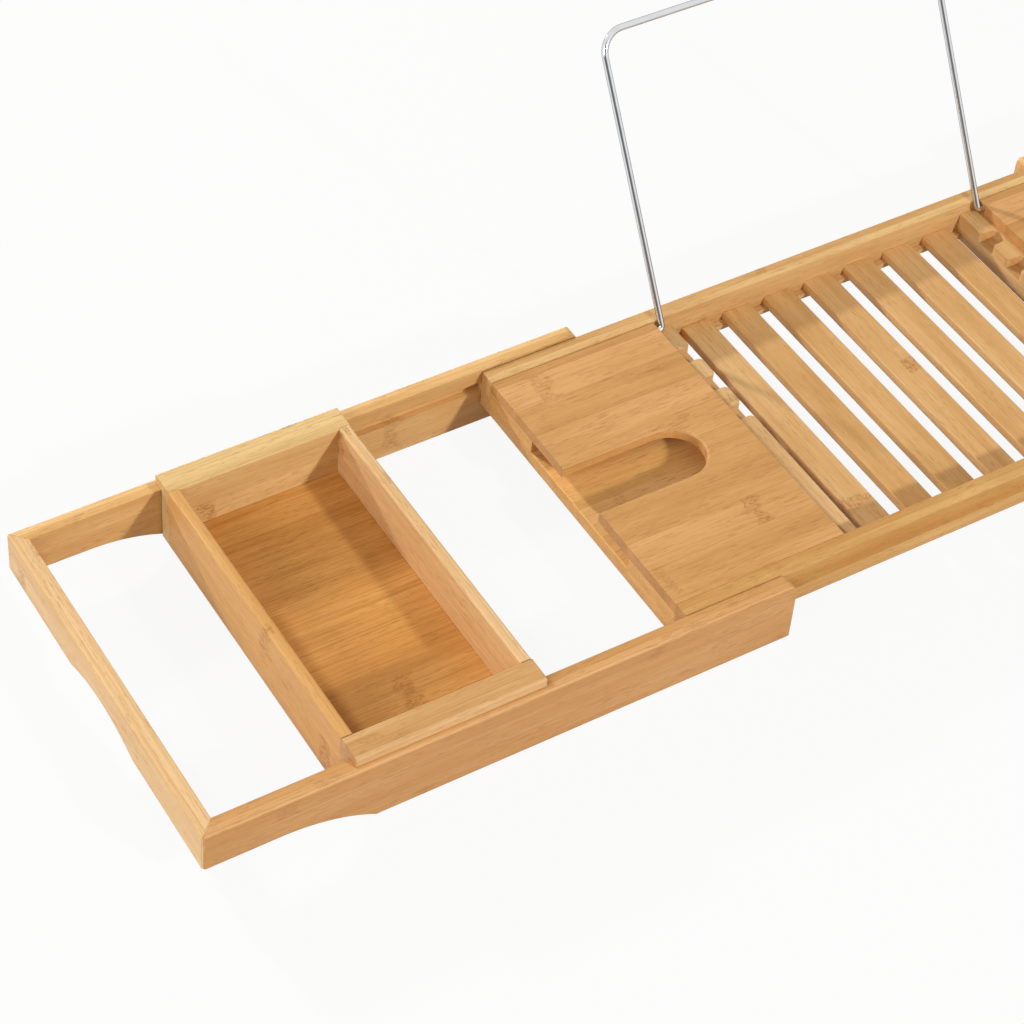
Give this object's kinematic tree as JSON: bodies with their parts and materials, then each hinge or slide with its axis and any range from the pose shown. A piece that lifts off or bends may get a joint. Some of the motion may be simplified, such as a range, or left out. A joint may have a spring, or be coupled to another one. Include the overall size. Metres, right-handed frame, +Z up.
{
  "type": "bath caddy",
  "caption": "Extending wooden bath caddy with a slatted centre frame, sliding arms with trays, glass slots and a folding wire book rest.",
  "frame": {"origin": "middle of the deck, on the top face of the middle slat", "axes": "+X along the caddy, +Y from the bather's side towards the side with the book rest's hinge, +Z up"},
  "size_m": [1.04, 0.2979, 0.1908],
  "materials": {
    "bamboo_frame": "clear satin lacquer",
    "bamboo_slat": "clear satin lacquer",
    "bamboo_arm": "clear satin lacquer",
    "bamboo_tray": "clear satin lacquer",
    "chrome_wire": "polished chrome plate",
    "screw_steel": "zinc plated"
  },
  "bodies": {
    "frame": {"rear_rail": "bamboo_frame", "front_rail": "bamboo_frame", "left_panel": "bamboo_frame", "left_foot_board": "bamboo_frame", "left_front_spacer": "bamboo_frame", "left_rear_spacer": "bamboo_frame", "left_inner_spacer": "bamboo_frame", "left_batten": "bamboo_frame", "right_panel": "bamboo_frame", "right_foot_board": "bamboo_frame", "right_front_spacer": "bamboo_frame", "right_rear_spacer": "bamboo_frame", "right_inner_spacer": "bamboo_frame", "right_batten": "bamboo_frame", "slat_1": "bamboo_slat", "slat_2": "bamboo_slat", "slat_3": "bamboo_slat", "slat_4": "bamboo_slat", "slat_5": "bamboo_slat", "slat_6": "bamboo_slat", "slat_7": "bamboo_slat", "rear_ledge": "bamboo_frame", "front_ledge": "bamboo_frame", "board_screws": "screw_steel"},
    "left_arm": {"left_arm_rear_rail": "bamboo_arm", "left_arm_front_rail": "bamboo_arm", "left_arm_end_bar": "bamboo_arm"},
    "right_arm": {"right_arm_rear_rail": "bamboo_arm", "right_arm_front_rail": "bamboo_arm", "right_arm_end_bar": "bamboo_arm"},
    "left_tray": {"left_tray_rear_wall": "bamboo_tray", "left_tray_front_wall": "bamboo_tray", "left_tray_outer_wall": "bamboo_tray", "left_tray_inner_wall": "bamboo_tray", "left_tray_floor": "bamboo_tray"},
    "right_tray": {"right_tray_rear_wall": "bamboo_tray", "right_tray_front_wall": "bamboo_tray", "right_tray_outer_wall": "bamboo_tray", "right_tray_inner_wall": "bamboo_tray", "right_tray_floor": "bamboo_tray"},
    "book_rest": {"book_rest_wire": "chrome_wire"}
  },
  "joints": [
    {"name": "left_arm_slide", "type": "slide", "parent": "frame", "child": "left_arm", "axis": [1, 0, 0], "range_m": [0, 0.16]},
    {"name": "right_arm_slide", "type": "slide", "parent": "frame", "child": "right_arm", "axis": [-1, 0, 0], "range_m": [0, 0.16]},
    {"name": "left_tray_slide", "type": "slide", "parent": "left_arm", "child": "left_tray", "axis": [1, 0, 0], "range_m": [-0.0721, 0]},
    {"name": "right_tray_slide", "type": "slide", "parent": "right_arm", "child": "right_tray", "axis": [-1, 0, 0], "range_m": [-0.0721, 0]},
    {"name": "book_rest_hinge", "type": "hinge", "parent": "frame", "child": "book_rest", "pos_m": [0, 0.0904, 0.0105], "axis": [1, 0, 0], "range_deg": [0, 120]}
  ],
  "couplings": [
    {"joint": "left_tray_slide", "follows": "left_arm_slide", "ratio": -0.4506},
    {"joint": "right_tray_slide", "follows": "right_arm_slide", "ratio": -0.4506}
  ]
}
